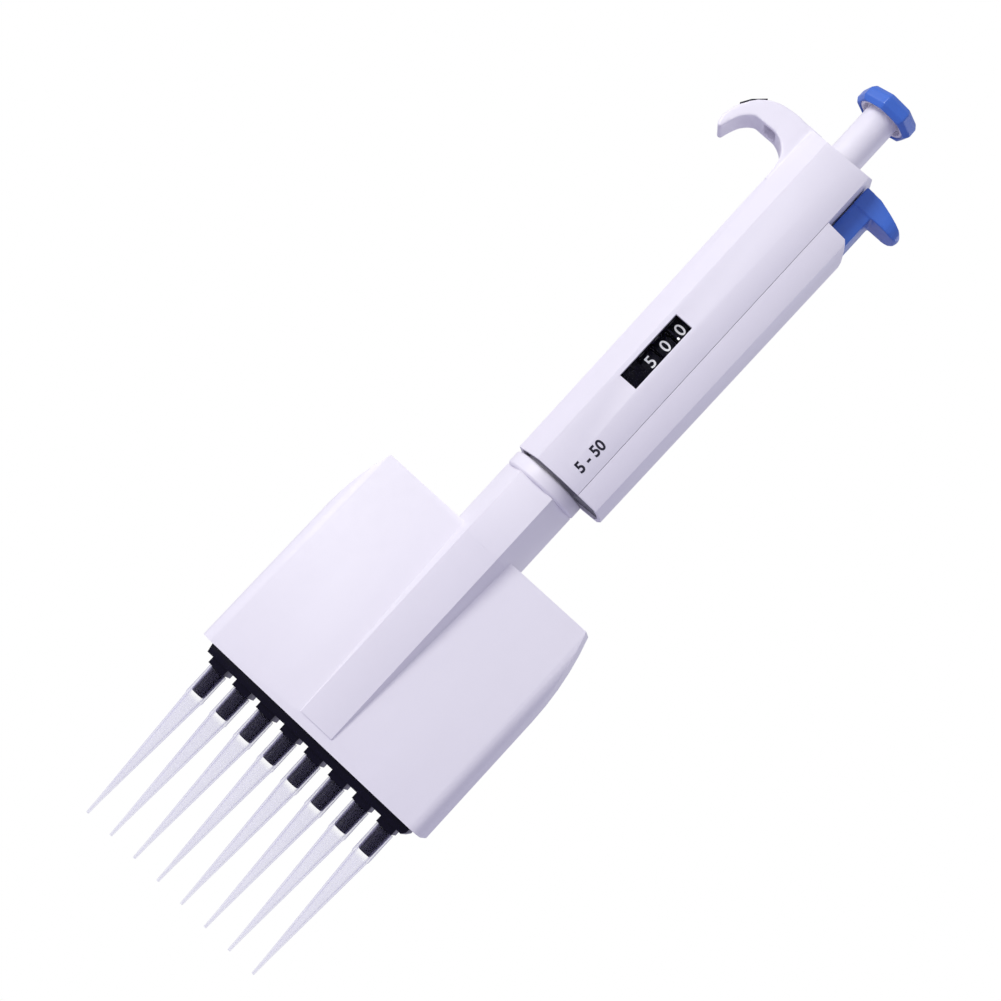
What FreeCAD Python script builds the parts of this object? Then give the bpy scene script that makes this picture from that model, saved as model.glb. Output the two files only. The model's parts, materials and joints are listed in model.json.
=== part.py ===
import FreeCAD, Part
import math
import os
import Sketcher

# Eight-channel air-displacement pipette.  Millimetres, +Z up along the plunger axis, X along the
# row of tips, -Y is the side with the volume window.  The origin is on the axis at the tip ends.

CHANNELS = 8
SHELL_WALL = 1.3

SIZES = {
    "pitch": 9.0,
    # disposable tips and the cones that carry them
    "tip_top": 51.9, "tip_rim": 2.95, "tip_seat": 43.6, "tip_body": 2.66, "tip_body_top": 41.3,
    "nozzle": 0.62, "nozzle_top": 5.0, "tip_end": 0.45, "tip_wall": 0.54, "nozzle_wall": 0.24,
    "tip_bead": 0.12, "cone_low": 2.2, "cone_high": 2.38, "tip_gap": 0.05, "air_bore": 0.6,
    "cone_plug": 2.6,
    # ejector bar below the manifold
    "bar_half": 36.9, "bar_deep": 6.0, "bar_low": 54.3, "bar_top": 57.9, "tooth_low": 52.3,
    "tooth_half": 2.8, "tooth_deep": 4.8, "bar_hole": 2.7,
    # manifold housing
    "man_half": 40.5, "man_low": 57.1, "man_bend": 100.0, "man_top": 127.4, "man_shoulder": 36.2,
    "man_deep": 9.0, "man_deep_top": 5.2, "man_edge": 4.0, "man_wall": 1.8, "man_cover": 7.2,
    "neck_corner": 11.6, "neck_top": 147.5,
    "neck_bore": 7.6, "ridge_half": 5.6, "ridge_high": 0.3, "ridge_rise": 3.0, "cover_screw_x": 36.6,
    "cover_screw_low": 68.0, "cover_screw_high": 106.0,
    # cylinder block, seals and pistons
    "block_low": 58.9, "block_top": 85.0, "block_half": 38.3, "block_deep": 5.4, "block_back": 7.1,
    "plug_top": 61.7,
    "piston": 1.25, "cylinder": 1.55, "seal_depth": 1.2, "seal_pocket": 2.4, "seal_wire": 0.5,
    "plate_thick": 2.0, "plate_half": 33.6, "plate_deep": 5.3, "plate_screw_y": 3.0,
    "piston_low": 75.0, "piston_head": 2.0,
    "carriage_low": 106.5, "carriage_top": 111.5, "carriage_deep": 3.9, "guide_x": 18.0,
    "guide_rod": 1.5, "guide_depth": 8.0, "run_gap": 0.35,
    # ejector frame inside the manifold
    "push_x": 35.2, "push_rod": 0.8, "yoke_low": 118.8, "yoke_top": 121.3, "yoke_deep": 3.3,
    "sleeve_out": 6.6, "sleeve_in": 5.0, "sleeve_top": 175.4,
    # collar and bearing between manifold and handle
    "collar": 11.6, "collar_top": 152.0, "stub_out": 8.2, "stub_in": 7.2, "stub_top": 161.2,
    "plate_low": 153.5, "plate_high": 157.3, "fit_gap": 0.05, "nut_low": 157.6, "nut_out": 9.7,
    # handle section, given at its lower end and widened by the taper at its upper end
    "grip_low": 152.7, "grip_top": 272.3, "grip_taper": 1.05, "roof_thick": 4.4, "facet": 4.2,
    "front": 14.5, "left_side": 11.5, "left_turn": 5.0, "seam": 10.4, "seam_gap": 0.12,
    "right_corner": 16.8, "right_deep": 10.0, "right_side": 18.0, "right_turn": 3.0,
    "side_top": 253.4, "web": 1.4, "web_low": 216.7, "web_half": 11.6, "stem_hole": 5.45,
    "crown_flat": 5.5, "crown_fall": 3.0, "screw_low": 171.3, "screw_high": 234.7, "screw_y": 8.0,
    "screw": 1.0, "screw_head": 2.0, "guide_plate": 217.7, "guide_thick": 2.0,
    # volume window and counter
    "window_half": 2.9, "window_low": 184.2, "window_top": 206.8, "lens_out": 13.9, "lens_in": 13.1,
    "drum": 9.6, "drum_bore": 4.4, "frame_bore": 3.5, "drum_low": 190.4, "drum_high": 5.6,
    "drum_gap": 0.3, "point_bar": 0.7, "end_ring": 2.4,
    # plunger and adjusting knob
    "rod": 2.0, "rod_low": 112.0, "rod_top": 182.0, "stem": 5.1, "stem_low": 240.7,
    "stem_top": 291.1, "stem_bore": 3.6, "stem_collar": 7.4, "collar_low": 247.7, "spindle": 3.0,
    "spindle_top": 269.1, "washer": 1.2, "washer_low": 246.3, "stop_nut_low": 225.9,
    "stop_nut_high": 3.4, "stop_nut_out": 5.0, "thread_pitch": 1.02, "thread_deep": 0.35,
    "knob_low": 288.3, "knob_top": 294.5, "knob_flat": 8.75, "liner_out": 7.38, "liner_in": 6.5,
    # ejector button and linkage
    "pad_left": 10.9, "pad_right": 26.7, "pad_half": 5.8, "leg_right": 17.3, "leg_half": 5.3,
    "leg_low": 240.7, "foot_low": 175.7, "foot_top": 178.4, "push_line": 14.0, "ejector_rod": 1.25,
    # finger hook
    "hook_half": 6.2, "hook_tip": 5.2, "hook_flat": 7.2, "pocket_right": 18.6, "pocket_left": 22.6,
    "pocket_half": 4.0, "label_half": 5.0,
    # springs: radius to the middle of the wire, and the wire's own radius
    "main_coil": 6.6, "main_wire": 0.6, "guide_coil": 2.4, "guide_wire": 0.3, "push_coil": 1.15,
    "push_wire": 0.2, "lever_coil": 2.1, "lever_wire": 0.35,
}

doc = FreeCAD.newDocument("pipette")
sheet = doc.addObject("Spreadsheet::Sheet", "dims")
for row_number, (alias, number) in enumerate(SIZES.items(), start=2):
    sheet.set("A%d" % row_number, alias)
    sheet.set("B%d" % row_number, str(number))
    sheet.setAlias("B%d" % row_number, alias)
doc.recompute()


class Dim:
    """A number that remembers the spreadsheet expression it comes from."""

    def __init__(self, value, text):
        self.value = value
        self.text = text

    def __add__(self, other):
        other = as_dim(other)
        return Dim(self.value + other.value, "(%s + %s)" % (self.text, other.text))

    def __sub__(self, other):
        other = as_dim(other)
        return Dim(self.value - other.value, "(%s - %s)" % (self.text, other.text))

    def __mul__(self, other):
        other = as_dim(other)
        return Dim(self.value * other.value, "(%s * %s)" % (self.text, other.text))

    def __truediv__(self, other):
        other = as_dim(other)
        return Dim(self.value / other.value, "(%s / %s)" % (self.text, other.text))

    def __neg__(self):
        return Dim(-self.value, "(0 - %s)" % self.text)

    __radd__ = __add__
    __rmul__ = __mul__

    def __rsub__(self, other):
        return as_dim(other) - self


def as_dim(number):
    if isinstance(number, Dim):
        return number
    return Dim(float(number), "%.6f" % number)


def d(alias):
    return Dim(SIZES[alias], "dims." + alias)


def new_body(name):
    body = doc.addObject("PartDesign::Body", name)
    body.Label = name
    body.AllowCompound = True
    return body


def origin_item(body, role):
    return [item for item in body.Origin.OriginFeatures if item.Role == role][0]


def new_sketch(body, role, shift=(0, 0, 0)):
    """A sketch on one of the body's origin planes; shift is in the sketch's own axes."""
    number = len(body.Group)
    sketch = body.newObject("Sketcher::SketchObject", "%s_outline_%d" % (body.Name, number))
    sketch.AttachmentSupport = (origin_item(body, role), [""])
    sketch.MapMode = "FlatFace"
    for axis, amount in zip("xyz", shift):
        sketch.setExpression("AttachmentOffset.Base.%s" % axis, as_dim(amount).text)
    return sketch


def fix_point(sketch, edge, end, x, y):
    for kind, amount in (("DistanceX", as_dim(x)), ("DistanceY", as_dim(y))):
        number = sketch.addConstraint(Sketcher.Constraint(kind, -1, 1, edge, end, amount.value))
        sketch.setExpression("Constraints[%d]" % number, amount.text)


def polygon(sketch, points):
    first = sketch.GeometryCount
    count = len(points)
    flat = [FreeCAD.Vector(as_dim(x).value, as_dim(y).value, 0) for x, y in points]
    for number in range(count):
        sketch.addGeometry(Part.LineSegment(flat[number], flat[(number + 1) % count]))
    for number in range(count):
        following = first + (number + 1) % count
        sketch.addConstraint(Sketcher.Constraint("Coincident", first + number, 2, following, 1))
    for number, (x, y) in enumerate(points):
        fix_point(sketch, first + number, 1, x, y)


def smooth_outline(sketch, stretches):
    """A closed outline whose stretches share their ends: two points make a line, more make a curve."""
    for points in stretches:
        flat = [FreeCAD.Vector(x, y, 0) for x, y in points]
        if len(flat) == 2:
            sketch.addGeometry(Part.LineSegment(*flat))
        else:
            curve = Part.BSplineCurve()
            curve.interpolate(flat)
            sketch.addGeometry(curve)


def rectangle(sketch, x0, x1, y0, y1):
    polygon(sketch, [(x0, y0), (x1, y0), (x1, y1), (x0, y1)])


def circle(sketch, x, y, radius):
    radius = as_dim(radius)
    centre = FreeCAD.Vector(as_dim(x).value, as_dim(y).value, 0)
    edge = sketch.addGeometry(Part.Circle(centre, FreeCAD.Vector(0, 0, 1), radius.value))
    number = sketch.addConstraint(Sketcher.Constraint("Radius", edge, radius.value))
    sketch.setExpression("Constraints[%d]" % number, radius.text)
    fix_point(sketch, edge, 3, x, y)


def feature(body, kind, sketch):
    item = body.newObject("PartDesign::" + kind, "%s_%s_%d" % (body.Name, kind, len(body.Group)))
    item.Profile = sketch
    sketch.Visibility = False
    return item


def extrude(body, kind, sketch, length, backwards=False, both=False):
    """Pad or Pocket; a plain pad follows the sketch normal and a plain pocket goes against it."""
    item = feature(body, kind, sketch)
    item.setExpression("Length", as_dim(length).text)
    item.Reversed = backwards
    item.Midplane = both
    body.Tip = item
    return item


def slab(body, kind, role, low, high, draw):
    """Extrude what draw() adds, from low to high along the normal of the plane."""
    low, high = as_dim(low), as_dim(high)
    sketch = new_sketch(body, role, (0, 0, low))
    draw(sketch)
    return extrude(body, kind, sketch, high - low, backwards=(kind == "Pocket"))


def spin(body, kind, points, x=0, y=0):
    """Revolution or Groove about a vertical line at x, y; points are radius and height."""
    sketch = new_sketch(body, "XZ_Plane", (x, 0, -as_dim(y)))
    polygon(sketch, points)
    item = feature(body, kind, sketch)
    item.ReferenceAxis = (sketch, ["V_Axis"])
    item.Angle = 360
    body.Tip = item
    return item


def tube(body, inner, outer, low, high, x=0, y=0):
    return spin(body, "Revolution", [(inner, low), (outer, low), (outer, high), (inner, high)], x, y)


def bore(body, radius, low, high, centres):
    """Vertical round holes at the given centres."""
    def draw(sketch):
        for x, y in centres:
            circle(sketch, x, y, radius)
    return slab(body, "Pocket", "XY_Plane", low, high, draw)


def block(body, kind, x0, x1, y0, y1, low, high):
    return slab(body, kind, "XY_Plane", low, high, lambda sketch: rectangle(sketch, x0, x1, y0, y1))


def loft(body, kind, low, low_points, high, high_points, role="XY_Plane"):
    lower = new_sketch(body, role, (0, 0, low))
    polygon(lower, low_points)
    upper = new_sketch(body, role, (0, 0, high))
    polygon(upper, high_points)
    item = feature(body, kind, lower)
    item.Sections = [upper]
    item.Ruled = True
    upper.Visibility = False
    body.Tip = item
    return item


def row_pattern(body, original, step, count, role="X_Axis"):
    """Repeat a feature along an origin axis."""
    item = body.newObject("PartDesign::LinearPattern", "%s_row_%d" % (body.Name, len(body.Group)))
    item.Originals = [original]
    item.Direction = (origin_item(body, role), [""])
    item.setExpression("Length", (as_dim(step) * (count - 1)).text)
    item.Occurrences = count
    body.Tip = item
    return item


def channel_centres():
    start = d("pitch") * (1 - CHANNELS) / 2
    return [(start + d("pitch") * number, 0) for number in range(CHANNELS)]


def pair(x):
    """The same place on both sides of the plunger axis."""
    return [(-x, 0), (x, 0)]


def spring(name, centres, mean_radius, wire, low, high, turns):
    """Round-wire compression springs, one solid for each centre, sharing one node."""
    coils = []
    for number, (x, y) in enumerate(centres):
        helix = doc.addObject("Part::Helix", "%s_path_%d" % (name, number))
        length = high - low - 2 * wire
        helix.SegmentLength = 1.0
        helix.setExpression("Radius", mean_radius.text)
        helix.setExpression("Height", length.text)
        helix.setExpression("Pitch", (length / turns).text)
        ring = doc.addObject("Part::Circle", "%s_wire_%d" % (name, number))
        ring.setExpression("Radius", wire.text)
        ring.setExpression("Placement.Base.x", mean_radius.text)
        ring.Placement.Rotation = FreeCAD.Rotation(FreeCAD.Vector(1, 0, 0), 90)
        coil = doc.addObject("Part::Sweep", "%s_coil_%d" % (name, number))
        coil.Sections = [ring]
        coil.Spine = (helix, [])
        coil.Solid = True
        coil.Frenet = True
        coil.setExpression("Placement.Base.x", as_dim(x).text)
        coil.setExpression("Placement.Base.y", as_dim(y).text)
        coil.setExpression("Placement.Base.z", (low + wire).text)
        coils.append(coil)
    if len(coils) == 1:
        coils[0].Label = name
        return coils[0]
    group = doc.addObject("Part::Compound", name)
    group.Links = coils
    group.Label = name
    return group


# ---------------------------------------------------------------- manifold (turns under the handle)

def shoulder(inset):
    """Right-hand shoulder: an arc from the straight side up to the flat top, moved in by the inset."""
    half, bend = d("man_half"), d("man_bend")
    over, rise = (half - d("man_shoulder")).value, (d("man_top") - bend).value
    outer_radius = (rise ** 2 + over ** 2) / over / 2
    radius = outer_radius - as_dim(inset).value
    sweep = math.asin((rise - as_dim(inset).value) / radius)
    steps = 5
    points = []
    for number in range(steps + 1):
        angle = sweep * number / steps
        points.append((half - inset - round(radius * (1 - math.cos(angle)), 5),
                       bend + round(radius * math.sin(angle), 5)))
    return points


def manifold_outline(inset, low):
    """Front view of the manifold: straight sides, sloping shoulders, flat top."""
    half = d("man_half") - inset
    right = shoulder(inset)
    left = [(-x, z) for x, z in reversed(right)]
    return [(half, low)] + right + left + [(-half, low)]


def front_depth(height):
    """Distance from the plunger axis to the front face, which leans back towards the top."""
    low, top = d("man_low"), d("man_top")
    lean = (d("man_deep") - d("man_deep_top")) * round(1 / (top - low).value, 8)
    return d("man_deep") - (height - low) * lean


def front_section(height):
    """Horizontal section of the front of the housing, with its two long edges rounded."""
    half, edge, back = d("man_half"), d("man_edge"), d("man_cover")
    deep = front_depth(height)
    steps = 4
    right = []
    for number in range(steps + 1):
        angle = math.pi / 2 * number / steps
        right.append((half - edge * round(1 - math.cos(angle), 5),
                      -deep + edge * round(1 - math.sin(angle), 5)))
    left = [(-x, y) for x, y in reversed(right)]
    return [(half, back)] + right + left + [(-half, back)]


def hexagon(corner):
    points = []
    for number in range(6):
        angle = math.pi * number / 3
        points.append((corner * round(math.cos(angle), 6), corner * round(math.sin(angle), 6)))
    return points


def add_front(body):
    """The leaning front with its rounded sides, cut back to the shoulders."""
    half, low, top = d("man_half"), d("man_low"), d("man_top")
    loft(body, "AdditiveLoft", low, front_section(low), top, front_section(top))
    for side in (-1, 1):
        corner = [(x * side, z) for x, z in shoulder(0)]
        outside = [(corner[-1][0], top + 1), ((half + 1) * side, top + 1), ((half + 1) * side, corner[0][1])]
        slab(body, "Pocket", "XZ_Plane", -10, 10, lambda sketch: polygon(sketch, corner + outside))


def add_ridge(body):
    """Raised band down the middle of the front, running on into the neck's front facet."""
    low, top = d("man_low") + d("ridge_rise"), d("man_top") + 1
    ridge, front, rooted = d("ridge_half"), d("man_deep") + d("ridge_high"), 2.8
    corner, top_rooted = d("neck_corner"), 5.5
    facet = corner * round(math.sin(math.pi / 3), 6)
    flank = round(math.tan(math.pi / 6), 6)
    foot, top_foot = ridge + rooted * flank, corner / 2 + top_rooted * flank
    loft(body, "AdditiveLoft",
         low, [(-foot, -front + rooted), (-ridge, -front), (ridge, -front), (foot, -front + rooted)],
         top, [(-top_foot, -facet + top_rooted), (-corner / 2, -facet), (corner / 2, -facet),
               (top_foot, -facet + top_rooted)])


def hollow_front(body):
    """Room for the cylinders and the moving plates; the wall leans back with the front face."""
    wall, low, bend, top = d("man_wall"), d("man_low"), d("man_bend"), d("man_top")
    level = d("man_deep_top") - wall
    slab(body, "Pocket", "XZ_Plane", -d("man_cover") - 1, level,
         lambda sketch: polygon(sketch, manifold_outline(wall, low - 1)))
    stretches = ((d("man_half") - wall, low - 1, bend), (d("man_shoulder") - wall, bend, top - wall))
    for half, start, end in stretches:
        profile = [(-level, start), (wall - front_depth(start), start), (wall - front_depth(end), end),
                   (-level, end)]
        slab(body, "Pocket", "YZ_Plane", -half, half, lambda sketch: polygon(sketch, profile))


def make_manifold_housing():
    body = new_body("manifold_housing")
    add_front(body)
    top = d("man_top")
    slab(body, "Pad", "XY_Plane", top - d("man_wall"), d("neck_top"),
         lambda sketch: polygon(sketch, hexagon(d("neck_corner"))))
    add_ridge(body)
    hollow_front(body)
    bore(body, d("neck_bore"), top - 16, d("neck_top") + 1, [(0, 0)])
    return body


def cover_screw_places():
    return [(x, z) for x in (-d("cover_screw_x"), d("cover_screw_x"))
            for z in (d("cover_screw_low"), d("cover_screw_high"))]


def round_holes(places, radius):
    """A drawing of equal circles for slab()."""
    def draw(sketch):
        for x, y in places:
            circle(sketch, x, y, radius)
    return draw


def make_manifold_rear_cover():
    body = new_body("manifold_rear_cover")
    back, inside = -d("man_deep"), -d("man_cover")
    slab(body, "Pad", "XZ_Plane", back, inside,
         lambda sketch: polygon(sketch, manifold_outline(0, d("man_low"))))
    notch = d("neck_corner") * 0.65
    block(body, "Pocket", -notch, notch, 0, d("man_deep") + 1, d("man_top") - d("man_wall"), d("man_top") + 1)
    slab(body, "Pocket", "XZ_Plane", back - 1, inside + 1,
         round_holes(cover_screw_places(), d("screw") + 0.15))
    slab(body, "Pocket", "XZ_Plane", back - 1, back + 0.9,
         round_holes(cover_screw_places(), d("screw_head") + 0.15))
    return body


def make_cover_screws():
    body = new_body("cover_screws")
    back, places = -d("man_deep"), cover_screw_places()
    slab(body, "Pad", "XZ_Plane", back + 0.1, back + 0.9, round_holes(places, d("screw_head")))
    slab(body, "Pad", "XZ_Plane", back + 0.5, -d("man_cover"), round_holes(places, d("screw")))

    def slots(sketch):
        for x, z in places:
            rectangle(sketch, x - 1.3, x + 1.3, z - 0.25, z + 0.25)
    slab(body, "Pocket", "XZ_Plane", back, back + 0.5, slots)
    return body


def make_cylinder_block():
    body = new_body("cylinder_block")
    half, low, top = d("block_half"), d("block_low"), d("block_top")
    block(body, "Pad", -half, half, -d("block_deep"), d("block_back"), low, top)
    centres = channel_centres()
    bore(body, d("cylinder"), low - 1, top + 1, centres)
    bore(body, d("cone_plug") + 0.02, low - 1, d("plug_top"), centres)
    bore(body, d("seal_pocket"), top - d("seal_depth"), top + 1, centres)
    bore(body, d("push_rod") + d("run_gap"), low - 1, top + 1, pair(d("push_x")))
    bore(body, d("guide_rod"), top - d("guide_depth"), top + 1, pair(d("guide_x")))
    return body


def make_tip_cones():
    body = new_body("tip_cones")
    hole, seat, shoulder = d("air_bore"), d("tip_seat"), d("block_low")
    first_x = channel_centres()[0][0]
    cone = spin(body, "Revolution", [
        (hole, seat), (d("cone_low") - 0.3, seat), (d("cone_low"), seat + 0.4),
        (d("cone_high"), d("tip_top")), (d("cone_high"), shoulder), (d("cone_plug"), shoulder),
        (d("cone_plug"), d("plug_top")), (hole, d("plug_top"))], x=first_x)
    row_pattern(body, cone, d("pitch"), CHANNELS)
    return body


def make_piston_seals():
    body = new_body("piston_seals")
    wire = d("seal_wire")
    middle = d("cylinder") + 0.3
    height = d("block_top") - d("seal_depth") / 2
    points = []
    steps = 12
    for number in range(steps):
        angle = 2 * math.pi * number / steps
        points.append((middle + wire * round(math.cos(angle), 5), height + wire * round(math.sin(angle), 5)))
    seal = spin(body, "Revolution", points, x=channel_centres()[0][0])
    row_pattern(body, seal, d("pitch"), CHANNELS)
    return body


def plate_screw_places():
    """Eight screws, between the channels on both sides of the row."""
    across, away = d("pitch"), d("plate_screw_y")
    return [(across * step, away * side) for step in (-3, -1, 1, 3) for side in (-1, 1)]


def plate_top():
    return d("block_top") + d("plate_thick")


def make_seal_plate():
    body = new_body("seal_plate")
    half, deep = d("plate_half"), d("plate_deep")
    low, top = d("block_top"), plate_top()
    block(body, "Pad", -half, half, -deep, deep, low, top)
    bore(body, d("cylinder"), low - 1, top + 1, channel_centres())
    bore(body, d("guide_rod"), low - 1, top + 1, pair(d("guide_x")))
    bore(body, d("screw") + 0.05, low - 1, top + 1, plate_screw_places())
    return body


def make_seal_plate_screws():
    body = new_body("seal_plate_screws")
    top, places = plate_top(), plate_screw_places()
    slab(body, "Pad", "XY_Plane", top, top + 1.3, round_holes(places, d("screw_head")))
    slab(body, "Pad", "XY_Plane", d("block_top"), top + 0.2, round_holes(places, d("screw")))
    slab(body, "Pocket", "XY_Plane", top + 0.6, top + 1.4, round_holes(places, d("screw_head") / 2))
    return body


def make_guide_rods():
    body = new_body("guide_rods")
    low, top, radius = d("block_top") - d("guide_depth"), d("carriage_top"), d("guide_rod")
    rod = spin(body, "Revolution", [
        (0, low), (radius, low), (radius, top - 0.5), (radius - 0.5, top), (0, top)], x=-d("guide_x"))
    row_pattern(body, rod, d("guide_x") * 2, 2)
    return body


def make_neck_collar():
    body = new_body("neck_collar")
    low, top, rim = d("neck_top"), d("collar_top"), d("collar")
    inner, outer = d("stub_in"), d("stub_out")
    spin(body, "Revolution", [
        (inner, low), (rim - 0.6, low), (rim, low + 0.6), (rim, top - 0.5), (rim - 0.5, top), (outer, top),
        (outer, d("stub_top")), (inner, d("stub_top"))])
    return body


def make_retaining_nut():
    body = new_body("retaining_nut")
    top = d("stub_top") - 0.3
    tube(body, d("stub_out") + 0.01, d("nut_out"), d("nut_low"), top)
    block(body, "Pocket", -0.8, 0.8, -12, 12, top - 1, top + 1)
    return body


def make_carriage():
    plate = new_body("piston_carriage")
    half, deep, low, top = d("plate_half"), d("carriage_deep"), d("carriage_low"), d("carriage_top")
    block(plate, "Pad", -half, half, -deep, deep, low, top)
    centres = channel_centres()
    bore(plate, d("piston"), low - 1, top + 1, centres)
    bore(plate, d("piston_head") + 0.1, top - 1.2, top + 1, centres)
    bore(plate, d("guide_rod") + d("run_gap"), low - 1, top + 1, pair(d("guide_x")))

    pins = new_body("pistons")
    radius, head, foot = d("piston"), d("piston_head"), d("piston_low")
    pin = spin(pins, "Revolution", [
        (0, foot), (radius - 0.3, foot), (radius, foot + 0.3), (radius, top - 1.2), (head, top - 1.2),
        (head, top - 0.1), (0, top - 0.1)], x=centres[0][0])
    row_pattern(pins, pin, d("pitch"), CHANNELS)
    return [plate, pins]


# ---------------------------------------------------------------- ejector parts in the manifold

def make_ejector_bar():
    body = new_body("ejector_bar")
    half, deep, low, top = d("bar_half"), d("bar_deep"), d("bar_low"), d("bar_top")
    slab(body, "Pad", "XZ_Plane", -deep, deep, lambda sketch: polygon(sketch, [
        (-half, top), (-half + 0.7, low), (half - 0.9, low), (half, low + 1.2), (half, top)]))
    tooth_low, tooth = d("tooth_low"), d("tooth_half")

    def teeth(sketch):
        for x, _ in channel_centres():
            rectangle(sketch, x - tooth, x + tooth, tooth_low, low + 0.5)
    slab(body, "Pad", "XZ_Plane", -d("tooth_deep"), d("tooth_deep"), teeth)
    bore(body, d("bar_hole"), tooth_low - 1, top + 1, channel_centres())
    return body


def make_ejector_push_rods():
    body = new_body("ejector_push_rods")
    rod = tube(body, 0, d("push_rod"), d("bar_top"), d("yoke_low"), x=-d("push_x"))
    row_pattern(body, rod, d("push_x") * 2, 2)
    return body


def make_ejector_yoke():
    body = new_body("ejector_yoke")
    half, deep = d("push_x") + d("push_rod") / 2, d("yoke_deep")
    low, top, inner = d("yoke_low"), d("yoke_top"), d("sleeve_in")
    block(body, "Pad", -half, half, -deep, deep, low, top)
    tube(body, inner, d("sleeve_out"), low, d("sleeve_top"))
    bore(body, inner, low - 1, top + 1, [(0, 0)])
    return body


def tip_outline():
    """Half-section of a tip: nozzle, long cone, ring under the seat, collar round the pipette's cone."""
    top, rim, seat, bead = d("tip_top"), d("tip_rim"), d("tip_seat"), d("tip_bead")
    body, body_top, nozzle, nozzle_top = d("tip_body"), d("tip_body_top"), d("nozzle"), d("nozzle_top")
    outer = [
        (d("tip_end"), 0), (nozzle, nozzle_top), (body, body_top), (rim - bead, seat - 1.6),
        (rim, seat - 1.3), (rim, seat - 0.7), (rim - bead, seat - 0.4), (rim - bead, top - 1.5),
        (rim, top - 1.2), (rim, top)]
    inner = [
        (d("cone_high") + d("tip_gap"), top), (d("cone_low") + d("tip_gap"), seat + 0.4),
        (d("cone_low") + d("tip_gap"), seat - 0.3), (body - d("tip_wall"), body_top),
        (nozzle - d("nozzle_wall"), nozzle_top), (d("tip_end") - d("nozzle_wall"), 0)]
    return outer + inner


def make_tips():
    tips = []
    for number, (x, _) in enumerate(channel_centres(), start=1):
        body = new_body("tip_%d" % number)
        spin(body, "Revolution", tip_outline(), x=x)
        tips.append(body)
    return tips


# ---------------------------------------------------------------- handle

def grip_section(widen, wall=0.0):
    """Cross-section of the handle; wall moves every facet inwards, by less across a blunt corner."""
    facet, front, seam = d("facet"), d("front"), d("seam")
    left, left_turn = d("left_side"), d("left_turn")
    corner, deep = d("right_corner"), d("right_deep")
    side, side_turn = d("right_side"), d("right_turn")
    points = [
        (-facet + wall * 0.45, -front + wall), (facet - wall * 0.17, -front + wall),
        (corner - wall * 0.75, -deep + wall * 0.85), (side - wall, -side_turn),
        (side - wall, side_turn), (corner - 0.5 - wall * 0.85, deep - wall * 0.55),
        (seam - wall * 0.3, front - 1.5 - wall), (facet - wall * 0.1, front - wall),
        (-facet + wall * 0.45, front - wall), (-left + wall, left_turn - wall * 0.35),
        (-left + wall, -left_turn + wall * 0.35)]
    return [(x * widen, y) for x, y in points]


def roof():
    return d("grip_top") - d("roof_thick")


def grip_blank(name):
    """Solid tapered grip."""
    body = new_body(name)
    loft(body, "AdditiveLoft", d("grip_low"), grip_section(1.0),
         d("grip_top"), grip_section(d("grip_taper")))
    return body


def hollow_grip(body):
    """Open the grip from below, up to its roof."""
    loft(body, "SubtractiveLoft", d("grip_low") - 0.5, grip_section(1.0, SHELL_WALL),
         roof(), grip_section(d("grip_taper"), SHELL_WALL))


def crown_grip(body):
    """The top falls away towards the front and the back."""
    top, edge, flat, fall = d("grip_top"), d("front") + 1, d("crown_flat"), d("crown_fall")
    for side in (-1, 1):
        slab(body, "Pocket", "YZ_Plane", -16, 24, lambda sketch: polygon(sketch, [
            (flat * side, top), (edge * side, top - fall), (edge * side, top + 1), (flat * side, top + 1)]))


def hook_stretches():
    """Side view of the finger hook, with heights from the top of the grip: curves and straight lines."""
    flat = -d("hook_flat").value
    over = [(-8.0, 0.0), (-14.0, 0.3), (-18.4, 0.5), (-22.6, 0.0), (-26.4, -1.5), (-29.6, -4.4),
            (-31.8, -8.0), (-32.9, -12.0)]
    tip = [over[-1], (-32.8, -14.6), (-31.9, -16.0), (-30.9, -15.6)]
    under = [tip[-1], (-30.2, -13.2), (-28.9, -10.2), (-27.0, -8.1), (-25.4, flat)]
    rest = [under[-1], (-19.2, flat)]
    inside = [rest[-1], (-16.0, -8.3), (-13.7, -10.4), (-12.4, -13.0), (-11.9, -16.0), (-11.8, -19.0)]
    return [over, tip, under, rest, inside, [inside[-1], (-8.0, -19.0)], [(-8.0, -19.0), over[0]]]


def hook_label_bed():
    """Bottom of the shallow recess for the colour strip, in three straight steps round the bend."""
    top = d("grip_top")
    return [(-26.1, top - 1.95), (-29.2, top - 4.7), (-31.0, top - 7.45)]


def add_hook(body):
    half, narrow, top = d("hook_half"), d("hook_tip"), d("grip_top")
    sketch = new_sketch(body, "XZ_Plane", (0, top, -half))
    smooth_outline(sketch, hook_stretches())
    extrude(body, "Pad", sketch, half * 2)
    for side in (-1, 1):
        slab(body, "Pocket", "XY_Plane", top - 20, top + 1, lambda sketch: polygon(sketch, [
            (-14, half * side), (-34, narrow * side), (-34, (half + 1) * side), (-14, (half + 1) * side)]))
    wide = d("label_half")
    slab(body, "Pocket", "XZ_Plane", -wide, wide, lambda sketch: polygon(
        sketch, hook_label_bed() + [(-33.2, top - 6.2), (-30.6, top - 2.4), (-27.2, top + 0.4)]))


def screw_heights():
    return (d("screw_low"), d("screw_high"))


def add_screw_bosses(body):
    """Blocks inside the seam that take the side shell's screws."""
    seam, y = d("seam"), d("screw_y")
    for middle in screw_heights():
        block(body, "Pad", seam - 4.4, seam, y - 2.1, y + 4.3, middle - 2.2, middle + 2.2)
        slab(body, "Pocket", "YZ_Plane", seam - 5, seam + 1,
             lambda sketch: circle(sketch, y, middle, d("screw")))


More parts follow.
